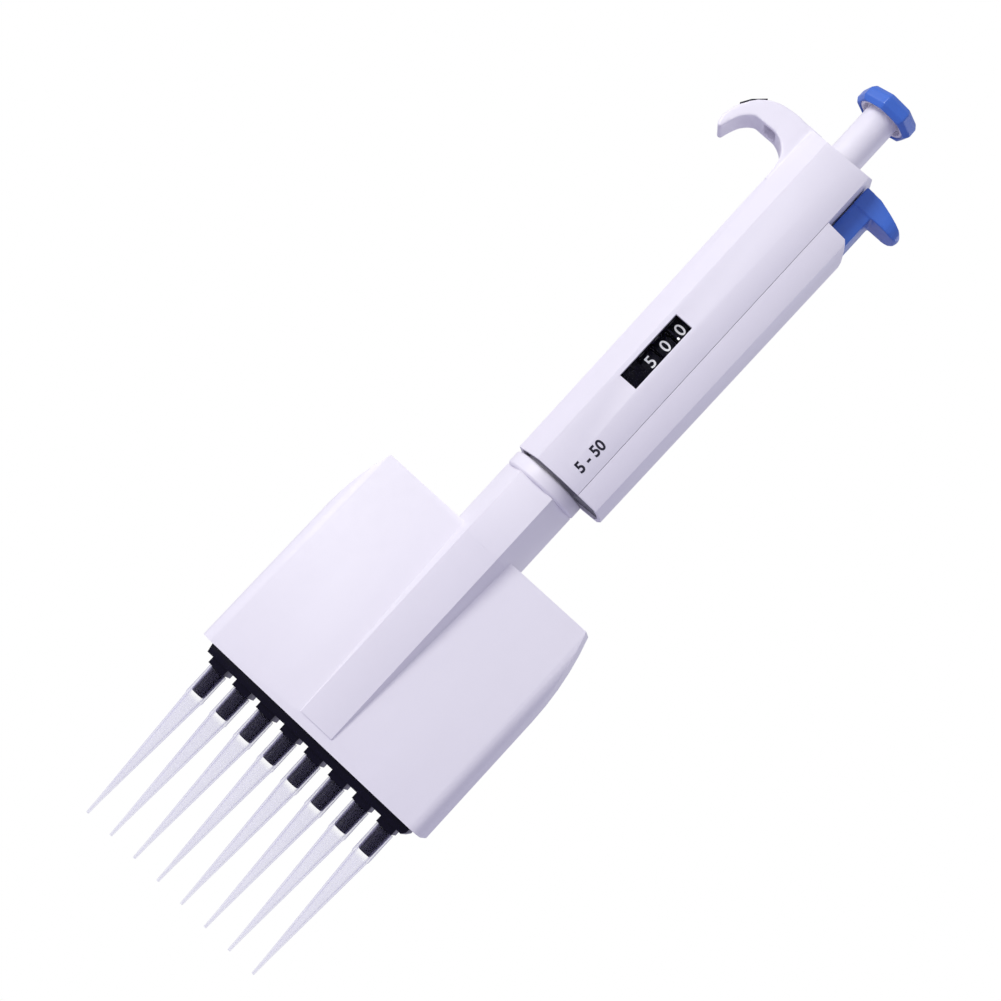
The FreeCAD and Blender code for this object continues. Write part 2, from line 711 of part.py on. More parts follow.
def make_handle_main_shell():
    body = grip_blank("handle_main_shell")
    crown_grip(body)
    add_hook(body)
    hollow_grip(body)
    seam, low, top = d("seam"), d("grip_low"), d("grip_top")
    block(body, "Pocket", seam, seam + 14, -20, 20, low - 2, top + 2)
    block(body, "Pad", seam - d("web"), seam, -d("web_half"), d("web_half"), d("web_low"), roof() + 0.5)
    add_screw_bosses(body)
    slab(body, "Pocket", "XZ_Plane", 5, 20, lambda sketch: rectangle(
        sketch, -d("window_half"), d("window_half"), d("window_low"), d("window_top")))
    bore(body, d("stem_hole"), roof() - 1, top + 1, [(0, 0)])
    block(body, "Pocket", -d("pocket_left"), -d("pocket_right"), -d("pocket_half"), d("pocket_half"),
          top - 12, top - 2.6)
    return body


def make_handle_side_shell():
    body = grip_blank("handle_side_shell")
    hollow_grip(body)
    face = d("seam") + d("seam_gap")
    low, top, cut = d("grip_low"), d("grip_top"), d("side_top")
    block(body, "Pocket", -40, face, -20, 20, low - 2, top + 2)
    block(body, "Pocket", 0, 40, -20, 20, cut, top + 2)
    slab(body, "Pocket", "XZ_Plane", -20, 20, lambda sketch: polygon(sketch, [
        (17.0, cut + 1), (16.6, cut), (18.1, cut - 1.6), (18.9, cut - 4.4), (21, cut - 4.4), (21, cut + 1)]))
    slot_half = d("leg_half") + d("run_gap")
    block(body, "Pocket", d("seam"), d("leg_right") + d("run_gap"), -slot_half, slot_half,
          d("leg_low") - 10, cut + 1)
    shelf = d("guide_plate")
    block(body, "Pad", face, 17.0, -8.4, 8.4, shelf, shelf + d("guide_thick"))
    bore(body, d("ejector_rod") + d("run_gap"), shelf - 1, shelf + 3, [(d("push_line"), 0)])
    for middle in screw_heights():
        y = d("screw_y")
        slab(body, "Pocket", "YZ_Plane", d("seam"), 24, lambda sketch: circle(
            sketch, y, middle, d("screw") + 0.2))
        slab(body, "Pocket", "YZ_Plane", 16.3, 24, lambda sketch: circle(
            sketch, y, middle, d("screw_head") + 0.2))
    return body


def make_handle_screws():
    body = new_body("handle_screws")
    y = d("screw_y")
    for middle in screw_heights():
        slab(body, "Pad", "YZ_Plane", 16.3, 17.0, lambda sketch: circle(sketch, y, middle, d("screw_head")))
        slab(body, "Pad", "YZ_Plane", d("seam") - 4.4, 16.5, lambda sketch: circle(
            sketch, y, middle, d("screw")))
        slab(body, "Pocket", "YZ_Plane", 16.6, 17.5, lambda sketch: rectangle(
            sketch, y - 1.4, y + 1.4, middle - 0.25, middle + 0.25))
    return body


def make_hook_label():
    """Thin colour strip let into the outer bend of the hook."""
    body = new_body("hook_label")
    top, half = d("grip_top"), d("label_half") - 0.02
    outer = [(-31.8, top - 7.0), (-29.95, top - 4.1), (-26.65, top - 1.1)]
    slab(body, "Pad", "XZ_Plane", -half, half, lambda sketch: polygon(sketch, hook_label_bed() + outer))
    return body


def make_window_lens():
    body = new_body("window_lens")
    half = d("window_half") - 0.02
    slab(body, "Pad", "XZ_Plane", d("lens_in"), d("lens_out"), lambda sketch: rectangle(
        sketch, -half, half, d("window_low") + 0.02, d("window_top") - 0.02))
    return body


def drum_spans():
    """Name, lower face and upper face of each number drum, from the bottom up."""
    low, high, gap = d("drum_low"), d("drum_high"), d("drum_gap")
    units_low = low + high + gap
    tenths_low = units_low + high + gap * 2 + d("point_bar")
    return (("tens_drum", low, low + high),
            ("units_drum", units_low, units_low + high),
            ("tenths_drum", tenths_low, tenths_low + high - 0.9))


def make_counter_frame():
    """Two end rings joined by a back plate and by cheeks that mask the window's long sides."""
    body = new_body("counter_frame")
    ring, core, thick = d("drum"), d("frame_bore"), d("end_ring")
    spans = drum_spans()
    gap = d("drum_gap")
    low, high = spans[0][1] - gap, spans[-1][2] + gap
    front, cheek = d("lens_in"), d("window_half") + 0.5
    tube(body, core, ring, low - thick, low)
    tube(body, core, ring, high, high + thick)
    block(body, "Pad", -4.0, 6.0, 10.2, 11.6, low - thick, high + thick)
    for start in (low - thick, high):
        block(body, "Pad", -3.0, 3.0, 5.0, 10.4, start, start + thick)
    block(body, "Pad", -cheek, cheek, -front, -8.0, d("window_low") - 0.6, low)
    block(body, "Pad", -cheek, cheek, -front, -8.0, high, high + thick)
    for side in (-1, 1):
        sketch = new_sketch(body, "XY_Plane", (0, 0, low - thick))
        inner = (cheek - 0.8) * side
        polygon(sketch, [(inner, -front), (cheek * side, -front), (cheek * side, -10), (inner, -10)])
        extrude(body, "Pad", sketch, high - low + thick * 2)
    bar = spans[1][2] + gap
    block(body, "Pad", -cheek + 0.6, cheek - 0.6, -12.0, -10.0, bar, bar + d("point_bar"))
    return body


def make_drums():
    drums = []
    rim, edge, web = d("drum"), 0.3, 1.2
    for name, low, high in drum_spans():
        body = new_body(name)
        last = name == "tenths_drum"
        core = d("frame_bore") if last else d("drum_bore")
        spin(body, "Revolution", [
            (core, low), (rim - edge, low), (rim, low + edge), (rim, high - edge), (rim - edge, high),
            (core, high)])
        if last:
            tube(body, core, d("drum_bore") - 0.3, d("drum_low"), low + 0.5)
        spin(body, "Groove", [
            (core + web, high - 1.5), (rim - web, high - 1.5), (rim - web, high + 1), (core + web, high + 1)])
        drums.append(body)
    return drums


def make_bearing_plate():
    """Closes the open end of the grip and carries the turning stub."""
    body = new_body("bearing_plate")
    low, high = d("plate_low"), d("plate_high")
    slab(body, "Pad", "XY_Plane", low, high,
         lambda sketch: polygon(sketch, grip_section(1.0, SHELL_WALL + 0.05)))
    bore(body, d("stub_out") + d("fit_gap"), low - 1, high + 1, [(0, 0)])
    return body


def make_top_bush():
    body = new_body("top_bush")
    tube(body, d("stem") + 0.08, d("liner_out"), roof() - 5, roof())
    return body


# ---------------------------------------------------------------- plunger, knob, ejector button

def make_plunger():
    rod = new_body("plunger_rod")
    low, top, radius = d("rod_low"), d("rod_top"), d("rod")
    foot = radius + 1.2
    spin(rod, "Revolution", [
        (0, low), (foot, low), (foot, low + 1.6), (radius, low + 2.6), (radius, top - 0.4),
        (radius - 0.4, top), (0, top)])
    washer = new_body("spring_washer")
    tube(washer, d("stem") + 0.1, d("stem_collar") + 0.2, d("washer_low"), d("washer_low") + d("washer"))
    nut = new_body("stop_nut")
    nut_low, nut_top, rim = d("stop_nut_low"), d("stop_nut_low") + d("stop_nut_high"), d("stop_nut_out")
    tube(nut, d("spindle") + 0.06, rim, nut_low, nut_top)
    for start, end in ((-rim - 0.4, -rim + 0.8), (rim - 0.8, rim + 0.4)):
        block(nut, "Pad", start, end, -1.2, 1.2, nut_low, nut_top)
    return [rod, washer, nut]


def octagon(flat, turn_deg):
    corner = flat / round(math.cos(math.pi / 8), 6)
    points = []
    for number in range(8):
        angle = math.radians(turn_deg + 22.5 + 45 * number)
        points.append((corner * round(math.cos(angle), 6), corner * round(math.sin(angle), 6)))
    return points


def make_knob_cap():
    """Eight flats with softened rims; levels are heights and how far the flats draw in."""
    cap = new_body("knob_cap")
    low, top, flat = d("knob_low"), d("knob_top"), d("knob_flat")
    turn = 17.0
    levels = ((low, 0.9), (low + 1.4, 0.0), (top - 2.2, 0.1), (top - 0.8, 1.1), (top, 3.4))
    for (height_a, in_a), (height_b, in_b) in zip(levels, levels[1:]):
        loft(cap, "AdditiveLoft", height_a, octagon(flat - in_a, turn), height_b, octagon(flat - in_b, turn))
    bore(cap, d("liner_out") + 0.02, low - 1, d("stem_top"), [(0, 0)])
    return cap


def make_knob_liner():
    liner = new_body("knob_liner")
    low, top = d("knob_low") + 0.4, d("stem_top") - 0.02
    inner, outer, hub = d("liner_in"), d("liner_out"), d("stem") + 0.02
    spin(liner, "Revolution", [
        (inner, low), (outer, low), (outer, top), (hub, top), (hub, top - 0.8), (inner, top - 0.8)])
    return liner


def make_plunger_stem():
    stem = new_body("plunger_stem")
    low, top, radius, hole = d("stem_low"), d("stem_top") - 0.02, d("stem"), d("stem_bore")
    rim, rim_low = d("stem_collar"), d("collar_low")
    neck = d("spindle_top") - 8
    spin(stem, "Revolution", [
        (hole, low), (radius, low), (radius, rim_low), (rim, rim_low), (rim, rim_low + 1.6),
        (radius, rim_low + 1.6), (radius, top), (d("spindle"), top), (d("spindle"), neck), (hole, neck)])
    return stem


def make_volume_spindle():
    """Rings stand for the thread that the stop nut climbs."""
    spindle = new_body("volume_spindle")
    core, deep, step = d("spindle"), d("thread_deep"), d("thread_pitch")
    low, top = d("rod_top") + 0.6, d("spindle_top")
    spin(spindle, "Revolution", [
        (0, low), (core - 0.6, low), (core, low + 0.6), (core, top), (0, top)])
    first = d("stop_nut_low") - 5
    thread = spin(spindle, "Groove", [
        (core - deep, first), (core + 0.5, first - 0.4), (core + 0.5, first + 0.4)])
    row_pattern(spindle, thread, step, 22, role="Z_Axis")
    return spindle


def make_ejector_button():
    """Thumb pad that slopes down to a round end, on a leg that runs into the grip."""
    body = new_body("ejector_button")
    left, right, half, top = d("pad_left"), d("pad_right"), d("pad_half"), d("grip_top")
    slab(body, "Pad", "XZ_Plane", -half, half, lambda sketch: polygon(sketch, [
        (left, top - 2.3), (left + 5.5, top - 2.8), (right - 4, top - 4.8), (right - 1.4, top - 5.6),
        (right - 0.2, top - 6.5), (right, top - 7.4), (right - 0.7, top - 8.5), (right - 2.2, top - 8.9),
        (left, top - 8.3)]))
    steps = 6
    for side in (-1, 1):
        corner = [(right + 1, half * side)]
        for step in range(steps + 1):
            angle = math.pi / 2 * step / steps
            corner.append((right - half + half * round(math.sin(angle), 5),
                           half * side * round(math.cos(angle), 5)))
        corner.append((right + 1, 0))
        slab(body, "Pocket", "XY_Plane", top - 10, top + 1, lambda sketch: polygon(sketch, corner))
    block(body, "Pad", left, d("leg_right"), -d("leg_half"), d("leg_half"), d("leg_low"), top - 8)
    return body


def make_ejector_linkage():
    """The rod hangs from the button's leg; its foot reaches over the ejector sleeve."""
    line, low, top = d("push_line"), d("foot_low"), d("foot_top")
    rod = new_body("ejector_rod")
    tube(rod, 0, d("ejector_rod"), top, d("leg_low"), x=line)
    foot = new_body("ejector_foot")
    reach = line + 1.6
    slab(foot, "Pad", "XY_Plane", low, top, lambda sketch: polygon(sketch, [
        (-6.2, -3.4), (-3.4, -6.2), (3.4, -6.2), (7.5, -3.0), (reach, -2.4), (reach, 2.4), (7.5, 3.0),
        (3.4, 5.4), (-3.4, 5.4), (-6.2, 3.4)]))
    bore(foot, d("rod") + 1.8, low - 1, top + 1, [(0, 0)])
    return [rod, foot]


def make_springs():
    frame_top = drum_spans()[-1][2] + d("drum_gap") + d("end_ring")
    shelf_top = d("guide_plate") + d("guide_thick")
    return [
        spring("plunger_spring", [(0, 0)], d("main_coil"), d("main_wire"), frame_top,
               d("washer_low"), 8),
        spring("carriage_springs", pair(d("guide_x")), d("guide_coil"), d("guide_wire"), plate_top(),
               d("carriage_low"), 7),
        spring("ejector_bar_springs", pair(d("push_x")), d("push_coil"), d("push_wire"), d("block_top"),
               d("yoke_low"), 11),
        spring("ejector_spring", [(d("push_line"), 0)], d("lever_coil"), d("lever_wire"), shelf_top,
               d("leg_low"), 8),
    ]


def build_all():
    pieces = [make_manifold_housing(), make_manifold_rear_cover(), make_cover_screws()]
    pieces += [make_cylinder_block(), make_tip_cones(), make_piston_seals(), make_seal_plate()]
    pieces += [make_seal_plate_screws(), make_guide_rods(), make_neck_collar(), make_retaining_nut()]
    pieces += make_carriage()
    pieces += [make_ejector_bar(), make_ejector_push_rods(), make_ejector_yoke()]
    pieces += make_tips()
    pieces += [make_handle_main_shell(), make_handle_side_shell(), make_handle_screws()]
    pieces += [make_hook_label(), make_window_lens(), make_counter_frame(), make_bearing_plate()]
    pieces += [make_top_bush()]
    pieces += make_drums()
    pieces += make_plunger()
    pieces += [make_knob_cap(), make_knob_liner(), make_plunger_stem(), make_volume_spindle()]
    pieces += [make_ejector_button()]
    pieces += make_ejector_linkage()
    pieces += make_springs()
    return pieces


def write_parts(pieces):
    os.makedirs("parts", exist_ok=True)
    for old in os.listdir("parts"):
        os.remove(os.path.join("parts", old))
    for piece in pieces:
        shape = piece.Shape
        if shape.isNull() or not shape.isValid():
            raise RuntimeError("bad shape: " + piece.Label)
        box = shape.BoundBox
        print("%-22s solids %d  volume %9.1f  x %7.2f %7.2f  y %7.2f %7.2f  z %7.2f %7.2f" % (
            piece.Label, len(shape.Solids), shape.Volume, box.XMin, box.XMax, box.YMin, box.YMax,
            box.ZMin, box.ZMax))
        shape.exportStep(os.path.join("parts", piece.Label + ".step"))


PIECES = build_all()
doc.recompute()
for thing in doc.Objects:
    if "Invalid" in thing.State or "Error" in thing.State:
        raise RuntimeError("object not built: " + thing.Name)
write_parts(PIECES)
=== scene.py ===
import json
import math

import bmesh
import bpy
from mathutils import Matrix, Vector
from mathutils.bvhtree import BVHTree


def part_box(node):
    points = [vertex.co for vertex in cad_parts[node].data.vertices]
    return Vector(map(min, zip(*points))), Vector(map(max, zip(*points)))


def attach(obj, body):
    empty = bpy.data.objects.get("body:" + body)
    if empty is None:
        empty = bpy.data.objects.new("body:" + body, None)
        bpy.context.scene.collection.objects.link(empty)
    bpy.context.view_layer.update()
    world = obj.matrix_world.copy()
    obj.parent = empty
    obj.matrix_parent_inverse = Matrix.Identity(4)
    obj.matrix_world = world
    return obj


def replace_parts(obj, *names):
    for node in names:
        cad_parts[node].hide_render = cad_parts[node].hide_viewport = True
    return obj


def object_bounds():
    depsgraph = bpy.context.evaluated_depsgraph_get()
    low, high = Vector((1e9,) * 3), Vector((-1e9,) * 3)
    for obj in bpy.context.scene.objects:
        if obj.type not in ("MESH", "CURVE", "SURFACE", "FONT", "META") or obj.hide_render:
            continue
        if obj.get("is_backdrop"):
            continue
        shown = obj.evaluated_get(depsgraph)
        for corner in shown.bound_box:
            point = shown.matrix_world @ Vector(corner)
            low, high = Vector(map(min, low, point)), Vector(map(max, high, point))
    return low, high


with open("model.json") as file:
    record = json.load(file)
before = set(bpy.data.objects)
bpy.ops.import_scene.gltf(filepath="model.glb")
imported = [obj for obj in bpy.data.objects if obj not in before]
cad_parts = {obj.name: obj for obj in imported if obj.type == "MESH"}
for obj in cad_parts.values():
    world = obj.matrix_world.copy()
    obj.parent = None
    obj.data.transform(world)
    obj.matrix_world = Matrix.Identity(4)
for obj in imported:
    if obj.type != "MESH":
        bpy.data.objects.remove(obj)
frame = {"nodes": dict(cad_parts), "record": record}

# Eight-channel pipette, in metres, in the frame of the CAD model: +Z up along the plunger, X along the
# row of tips with the finger hook at -X, and the window facing -Y.
CAD_LOW, CAD_HIGH = (Vector(corner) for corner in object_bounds())
NODES = frame["nodes"]
MM = 0.001

LEFT, RIGHT = Vector((-1.0, 0.0, 0.0)), Vector((1.0, 0.0, 0.0))
DOWN, UP = Vector((0.0, 0.0, -1.0)), Vector((0.0, 0.0, 1.0))
INWARD = Vector((0.0, 1.0, 0.0))


# ------------------------------------------------------------------ sizes

# Clean-up of a CAD mesh: seams welded, flat faces made whole, edges sharper than SHARP_DEG rounded.
# Afterwards an edge is shaded crisp where its faces still meet at more than CRISP_DEG.
WELD = 2e-6
CUT = 1e-7
FINE_CUT = 1e-8
FLAT_DEG = 0.6
SHARP_DEG = 28.0
BEVEL_STEPS = 3
CRISP_DEG = 34.0
TIP_CRISP_DEG = 40.0

# Edge rounding in mm, for the nodes that keep their crisp moulded faces.
ROUNDED = {
    "handle_side_shell": 0.4, "manifold_housing": 0.5, "manifold_rear_cover": 0.4, "neck_collar": 0.25,
    "knob_liner": 0.15, "plunger_stem": 0.25, "ejector_bar": 0.3, "hook_label": 0.12, "counter_frame": 0.15,
}
SOFTENED = ("handle_main_shell", "ejector_button", "knob_cap")
GRIP_ROUND = 0.5 * MM
LEG_ROUND = 0.4 * MM

# Soft pieces: face size after rebuilding, and rounds of relaxing.
HOOK_SOFTNESS = (0.3 * MM, 14)
PAD_SOFTNESS = (0.25 * MM, 16)
KNOB_SOFTNESS = (0.16 * MM, 14)

# The crisp grip ends at its flank. The soft hook starts deeper inside it and stops above its floor.
GRIP_LOW, GRIP_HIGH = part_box("handle_main_shell")
GRIP_FLANK = -12.6 * MM
HOOK_ROOT = GRIP_FLANK + 4.0 * MM
HOOK_FLOOR = GRIP_HIGH[2] - 21.0 * MM

# The crisp leg ends under the thumb pad. The soft pad starts a little lower, inside the leg.
BUTTON_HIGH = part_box("ejector_button")[1]
PAD_UNDER = BUTTON_HIGH[2] - 8.4 * MM
PAD_ROOT = PAD_UNDER - 1.0 * MM

# Tips: a fine end, a long cone up to the shoulder, and a ribbed collar round the seat of the tip cone.
TIP_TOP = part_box("tip_1")[1][2]
TIP_RIM = (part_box("tip_1")[1][0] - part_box("tip_1")[0][0]) / 2
TIP_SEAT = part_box("tip_cones")[0][2]
TIP_FINE = 5.0 * MM
TIP_MIDDLE = 23.1 * MM
TIP_SHOULDER = TIP_SEAT - 2.3 * MM
RIBS = 12
RIB_STEPS = 6
RIB_DEPTH = 0.18 * MM
MILKY_BELOW = TIP_SEAT - 2.1 * MM
CLEAR_ABOVE = TIP_SEAT - 0.6 * MM

# Figures on the drums. A figure of the font is FONT_FIGURE tall at size 1.
FONT_FIGURE = 0.7
FONT_WELD = 1e-5
INK_LIFT = 0.03 * MM
FIGURE_HEIGHT = 3.5 * MM
FIGURE_WEIGHT = 0.008
FIGURE_STRIP = 0.4 * MM
DRUM_FACE = 5.6 * MM
FIGURES = 10

# Decimal point, on the bar of the counter frame between the last two drums.
BAR_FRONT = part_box("counter_frame")[0][1] + 1.1 * MM
BAR_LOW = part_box("units_drum")[1][2] + 0.3 * MM
BAR_TALL = 0.7 * MM
POINT_ACROSS = 1.75 * MM
POINT_HALF_WIDE = 0.42 * MM
POINT_HALF_TALL = 0.34 * MM
POINT_SIDES = 16

# Volume range, printed up the front of the grip.
RANGE_TEXT = "5 - 50"
RANGE_HEIGHT = 3.0 * MM
RANGE_WEIGHT = 0.028
RANGE_STRIP = 1.0 * MM
RANGE_X = 6.0 * MM
RANGE_Z = GRIP_LOW[2] + 9.9 * MM
RAY_ROOM = 5.0 * MM

# Set and camera.
FLOOR_RADIUS = 12.0
FLOOR_SIDES = 64
FLOOR_GAP = 0.5 * MM
CAMERA_YAW, CAMERA_LIFT, CAMERA_ROLL = 9.6, -3.9, 42.68
CAMERA_AIM = Vector((-6.09, 0.0, -8.7)) * MM
CAMERA_DISTANCE = 600.0 * MM
CAMERA_LENS = 78.675


# ------------------------------------------------------------------ materials

def shader_tree(name):
    """A new material, its node tree and its Principled shader."""
    material = bpy.data.materials.new(name)
    material.use_nodes = True
    tree = material.node_tree
    return material, tree, tree.nodes["Principled BSDF"]


def add_node(tree, kind, inputs=None, **settings):
    """A new node with some of its sockets and settings filled in."""
    node = tree.nodes.new(kind)
    for key, value in settings.items():
        setattr(node, key, value)
    for key, value in (inputs or {}).items():
        node.inputs[key].default_value = value
    return node


def noise(tree, scale, detail=3.0, stretch=(1.0, 1.0, 1.0)):
    """Noise in object coordinates; scale is in features per metre."""
    place = add_node(tree, "ShaderNodeTexCoord")
    mapping = add_node(tree, "ShaderNodeMapping", {"Scale": stretch})
    texture = add_node(tree, "ShaderNodeTexNoise", {"Scale": scale, "Detail": detail})
    tree.links.new(place.outputs["Object"], mapping.inputs["Vector"])
    tree.links.new(mapping.outputs["Vector"], texture.inputs["Vector"])
    return texture.outputs["Fac"]


def ramp(tree, source, low, high, start=0.3, end=0.7):
    """Spread a 0 to 1 value between two colours or two greys."""
    node = add_node(tree, "ShaderNodeValToRGB")
    node.color_ramp.elements[0].position = start
    node.color_ramp.elements[1].position = end
    node.color_ramp.elements[0].color = (*low, 1.0)
    node.color_ramp.elements[1].color = (*high, 1.0)
    tree.links.new(source, node.inputs["Fac"])
    return node.outputs["Color"]


def grey_ramp(tree, source, low, high, start=0.3, end=0.7):
    """Spread a 0 to 1 value between two plain numbers."""
    return ramp(tree, source, [low] * 3, [high] * 3, start, end)


def add_bump(tree, shader, height, strength, distance):
    """Relief on the surface; distance is in metres."""
    bump = add_node(tree, "ShaderNodeBump", {"Strength": strength, "Distance": distance})
    tree.links.new(height, bump.inputs["Height"])
    tree.links.new(bump.outputs["Normal"], shader.inputs["Normal"])


def shaded(colour, spread):
    """The colour, darker by a share."""
    return [channel * (1.0 - spread) for channel in colour]


def moulded_plastic(name, colour, roughness, spread=0.04, strength=0.12, coat=0.0, shine=0.5):
    """Injection-moulded plastic: faint flow marks in the colour, a fine spark texture and uneven gloss."""
    material, tree, shader = shader_tree(name)
    flow = noise(tree, 45.0, detail=4.0, stretch=(1.0, 1.0, 0.35))
    tree.links.new(ramp(tree, flow, shaded(colour, spread), colour), shader.inputs["Base Color"])
    gloss = noise(tree, 320.0, detail=2.0)
    tree.links.new(grey_ramp(tree, gloss, roughness - 0.05, roughness + 0.06), shader.inputs["Roughness"])
    spark = noise(tree, 2600.0, detail=2.0)
    add_bump(tree, shader, spark, strength, 0.04 * MM)
    shader.inputs["Coat Weight"].default_value = coat
    shader.inputs["Coat Roughness"].default_value = 0.12
    shader.inputs["Specular IOR Level"].default_value = shine
    shader.inputs["IOR"].default_value = 1.5
    return material


def height_blend(tree, low, high):
    """0 below the lower height and 1 above the upper one, in metres."""
    place = add_node(tree, "ShaderNodeTexCoord")
    parts = add_node(tree, "ShaderNodeSeparateXYZ")
    spread = add_node(tree, "ShaderNodeMapRange", {"From Min": low, "From Max": high})
    tree.links.new(place.outputs["Object"], parts.inputs["Vector"])
    tree.links.new(parts.outputs["Z"], spread.inputs["Value"])
    return spread.outputs["Result"]


def wall_density(tree, middle, edge):
    """Alpha of a thin clear wall: open where it faces the eye, denser where it is seen edge on."""
    facing = add_node(tree, "ShaderNodeLayerWeight", {"Blend": 0.5}).outputs["Facing"]
    return grey_ramp(tree, facing, middle, edge, start=0.25, end=0.95)


def clear_polypropylene():
    """Thin tip plastic: milky lavender in the long cone, clear in the collar."""
    material, tree, shader = shader_tree("clear_polypropylene")
    cloud = noise(tree, 160.0, detail=3.0, stretch=(1.0, 1.0, 0.25))
    tree.links.new(ramp(tree, cloud, (0.52, 0.49, 0.76), (0.62, 0.6, 0.84)), shader.inputs["Base Color"])
    tree.links.new(grey_ramp(tree, noise(tree, 900.0), 0.14, 0.24), shader.inputs["Roughness"])
    mix = add_node(tree, "ShaderNodeMixRGB")
    tree.links.new(height_blend(tree, MILKY_BELOW, CLEAR_ABOVE), mix.inputs["Fac"])
    tree.links.new(wall_density(tree, 0.13, 0.42), mix.inputs["Color1"])
    tree.links.new(wall_density(tree, 0.02, 0.6), mix.inputs["Color2"])
    tree.links.new(mix.outputs["Color"], shader.inputs["Alpha"])
    shader.inputs["IOR"].default_value = 1.5
    return material


def clear_acrylic():
    """Window pane, very slightly scuffed."""
    material, tree, shader = shader_tree("clear_acrylic")
    scuffs = noise(tree, 500.0, detail=5.0)
    tree.links.new(ramp(tree, scuffs, (0.25, 0.25, 0.3), (0.4, 0.4, 0.46)), shader.inputs["Base Color"])
    tree.links.new(grey_ramp(tree, scuffs, 0.02, 0.1), shader.inputs["Roughness"])
    tree.links.new(wall_density(tree, 0.004, 0.2), shader.inputs["Alpha"])
    shader.inputs["IOR"].default_value = 1.5
    return material


def turned_metal(name, colour, roughness):
    """Metal with fine machining marks across its length."""
    material, tree, shader = shader_tree(name)
    marks = noise(tree, 700.0, detail=4.0, stretch=(1.0, 1.0, 12.0))
    tree.links.new(ramp(tree, marks, shaded(colour, 0.18), colour), shader.inputs["Base Color"])
    tree.links.new(grey_ramp(tree, marks, roughness, roughness + 0.14), shader.inputs["Roughness"])
    shader.inputs["Metallic"].default_value = 1.0
    add_bump(tree, shader, marks, 0.15, 0.03 * MM)
    return material


def printed_ink(name, colour, painted_glow=0.0):
    """Printing ink, a little uneven; the glow is painted light, an emission that keeps the ink bright where
    the window recess shades it.
    """
    material, tree, shader = shader_tree(name)
    shader.inputs["Emission Color"].default_value = (*colour, 1.0)
    shader.inputs["Emission Strength"].default_value = painted_glow
    patches = noise(tree, 1800.0)
    tree.links.new(ramp(tree, patches, shaded(colour, 0.15), colour), shader.inputs["Base Color"])
    shader.inputs["Roughness"].default_value = 0.5
    return material


MATERIALS = {
    "white_plastic": moulded_plastic("white_plastic", (0.83, 0.81, 0.88), 0.42),
    "black_plastic": moulded_plastic("black_plastic", (0.003, 0.0022, 0.011), 0.24, spread=0.3,
                                     strength=0.25, shine=0.16),
    "blue_plastic": moulded_plastic("blue_plastic", (0.042, 0.15, 0.62), 0.33, spread=0.12, coat=0.25),
    "grey_plastic": moulded_plastic("grey_plastic", (0.42, 0.43, 0.47), 0.45),
    "rubber": moulded_plastic("rubber", (0.02, 0.02, 0.022), 0.7, spread=0.2, strength=0.3),
    "clear_tip": clear_polypropylene(),
    "clear_window": clear_acrylic(),
    "steel": turned_metal("steel", (0.62, 0.63, 0.65), 0.22),
    "brass": turned_metal("brass", (0.72, 0.53, 0.24), 0.25),
}
# The figures glow: painted light that lifts them out of the shade of the window recess.
DIGIT_INK = printed_ink("digit_ink", (0.92, 0.92, 0.95), painted_glow=0.4)
PRINT_INK = printed_ink("print_ink", (0.008, 0.006, 0.02))


# ------------------------------------------------------------------ helpers for pieces

def slot_of(node):
    """The material slot that the record gives a node."""
    for entry in frame["record"]["subparts"]:
        if entry["node"] == node:
            return entry["material_slot"]
    raise ValueError(node)


def body_name(node):
    """The moving body that a node belongs to."""
    for body, members in frame["record"]["behaviour"]["bodies"].items():
        if node in members:
            return body
    raise ValueError(node)


def new_piece(name, mesh, body, slot, material=None):
    """A visible piece that rides on a body; its material is the slot's own unless another is given."""
    piece = bpy.data.objects.new(name, mesh)
    bpy.context.scene.collection.objects.link(piece)
    mesh.materials.clear()
    mesh.materials.append(material or MATERIALS[slot])
    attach(piece, body)
    return piece


def as_mesh(work, name):
    """Turn a finished bmesh into a named mesh."""
    mesh = bpy.data.meshes.new(name)
    work.to_mesh(mesh)
    work.free()
    return mesh


def evaluated_mesh(holder):
    """A new mesh of the object with its modifiers or outlines worked out; the object is removed."""
    bpy.context.view_layer.update()
    mesh = bpy.data.meshes.new_from_object(holder.evaluated_get(bpy.context.evaluated_depsgraph_get()))
    bpy.data.objects.remove(holder)
    return mesh


def smooth_by_angle(mesh, degrees):
    """Shade smooth, with edges sharper than the angle left crisp."""
    mesh.shade_smooth()
    work = bmesh.new()
    work.from_mesh(mesh)
    for edge in work.edges:
        edge.smooth = len(edge.link_faces) == 2 and edge.calc_face_angle() < math.radians(degrees)
    work.to_mesh(mesh)
    work.free()


def everything(work):
    """All the vertices, edges and faces of a bmesh."""
    return work.verts[:] + work.edges[:] + work.faces[:]


def welded_copy(node):
    """The CAD node's mesh with its seams welded and its flat faces whole."""
    work = bmesh.new()
    work.from_mesh(NODES[node].data)
    bmesh.ops.remove_doubles(work, verts=work.verts, dist=WELD)
    bmesh.ops.dissolve_limit(work, angle_limit=math.radians(FLAT_DEG), verts=work.verts, edges=work.edges)
    return work


def round_edges(work, width):
    """Round every edge where two faces meet at more than the sharp angle."""
    sharp = [edge for edge in work.edges
             if len(edge.link_faces) == 2 and edge.calc_face_angle() > math.radians(SHARP_DEG)]
    bmesh.ops.bevel(work, geom=sharp, offset=width, segments=BEVEL_STEPS, profile=0.5, affect="EDGES",
                    clamp_overlap=True)


def keep_side(work, point, normal):
    """Cut at a plane, drop what lies on its normal's side and close the cut."""
    cut = bmesh.ops.bisect_plane(work, geom=everything(work), dist=CUT, plane_co=point, plane_no=normal,
                                 clear_outer=True)["geom_cut"]
    rim = [item for item in cut if isinstance(item, bmesh.types.BMEdge)]
    bmesh.ops.holes_fill(work, edges=rim)


